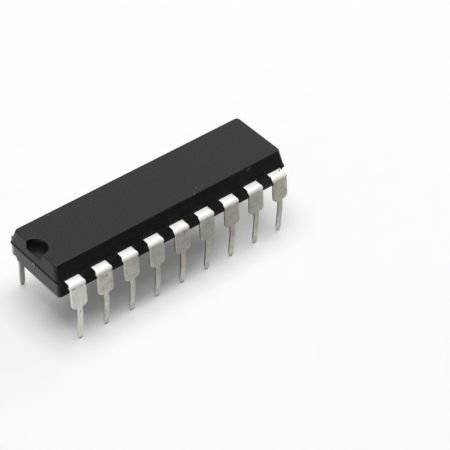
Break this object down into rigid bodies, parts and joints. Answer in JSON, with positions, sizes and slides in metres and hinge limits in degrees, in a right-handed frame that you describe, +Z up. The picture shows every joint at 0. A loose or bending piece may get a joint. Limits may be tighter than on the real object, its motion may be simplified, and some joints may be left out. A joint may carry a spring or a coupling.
{
  "type": "dual in-line integrated circuit",
  "caption": "Dual in-line integrated circuit: black moulded body with an end notch, and two rows of bent, shouldered leads for through-hole boards or sockets.",
  "frame": {"origin": "middle of the standing chip on the plane of its lead tips", "axes": "+X along the body from the notched end to the plain end, +Y across the two rows, +Z up from the lead tips to the top face"},
  "size_m": [0.023, 0.0086, 0.0072],
  "materials": {
    "epoxy_moulding": "fine matt, mineral-filled epoxy straight from the mould",
    "tinned_copper": "matt tin plating over a stamped copper-alloy strip",
    "bare_copper": "bare rolled copper alloy",
    "silver_adhesive": "cured silver-filled adhesive",
    "silicon": "polished silicon",
    "gold_wire": "drawn gold wire"
  },
  "bodies": {
    "root": {"moulded_body": "epoxy_moulding", "die_pad": "bare_copper", "die_attach": "silver_adhesive", "silicon_die": "silicon", "lead_01": "tinned_copper", "lead_02": "tinned_copper", "lead_03": "tinned_copper", "lead_04": "tinned_copper", "lead_05": "tinned_copper", "lead_06": "tinned_copper", "lead_07": "tinned_copper", "lead_08": "tinned_copper", "lead_09": "tinned_copper", "lead_10": "tinned_copper", "lead_11": "tinned_copper", "lead_12": "tinned_copper", "lead_13": "tinned_copper", "lead_14": "tinned_copper", "lead_15": "tinned_copper", "lead_16": "tinned_copper", "lead_17": "tinned_copper", "lead_18": "tinned_copper", "bond_wire_01": "gold_wire", "bond_wire_02": "gold_wire", "bond_wire_03": "gold_wire", "bond_wire_04": "gold_wire", "bond_wire_05": "gold_wire", "bond_wire_06": "gold_wire", "bond_wire_07": "gold_wire", "bond_wire_08": "gold_wire", "bond_wire_09": "gold_wire", "bond_wire_10": "gold_wire", "bond_wire_11": "gold_wire", "bond_wire_12": "gold_wire", "bond_wire_13": "gold_wire", "bond_wire_14": "gold_wire", "bond_wire_15": "gold_wire", "bond_wire_16": "gold_wire", "bond_wire_17": "gold_wire", "bond_wire_18": "gold_wire"}
  },
  "joints": []
}
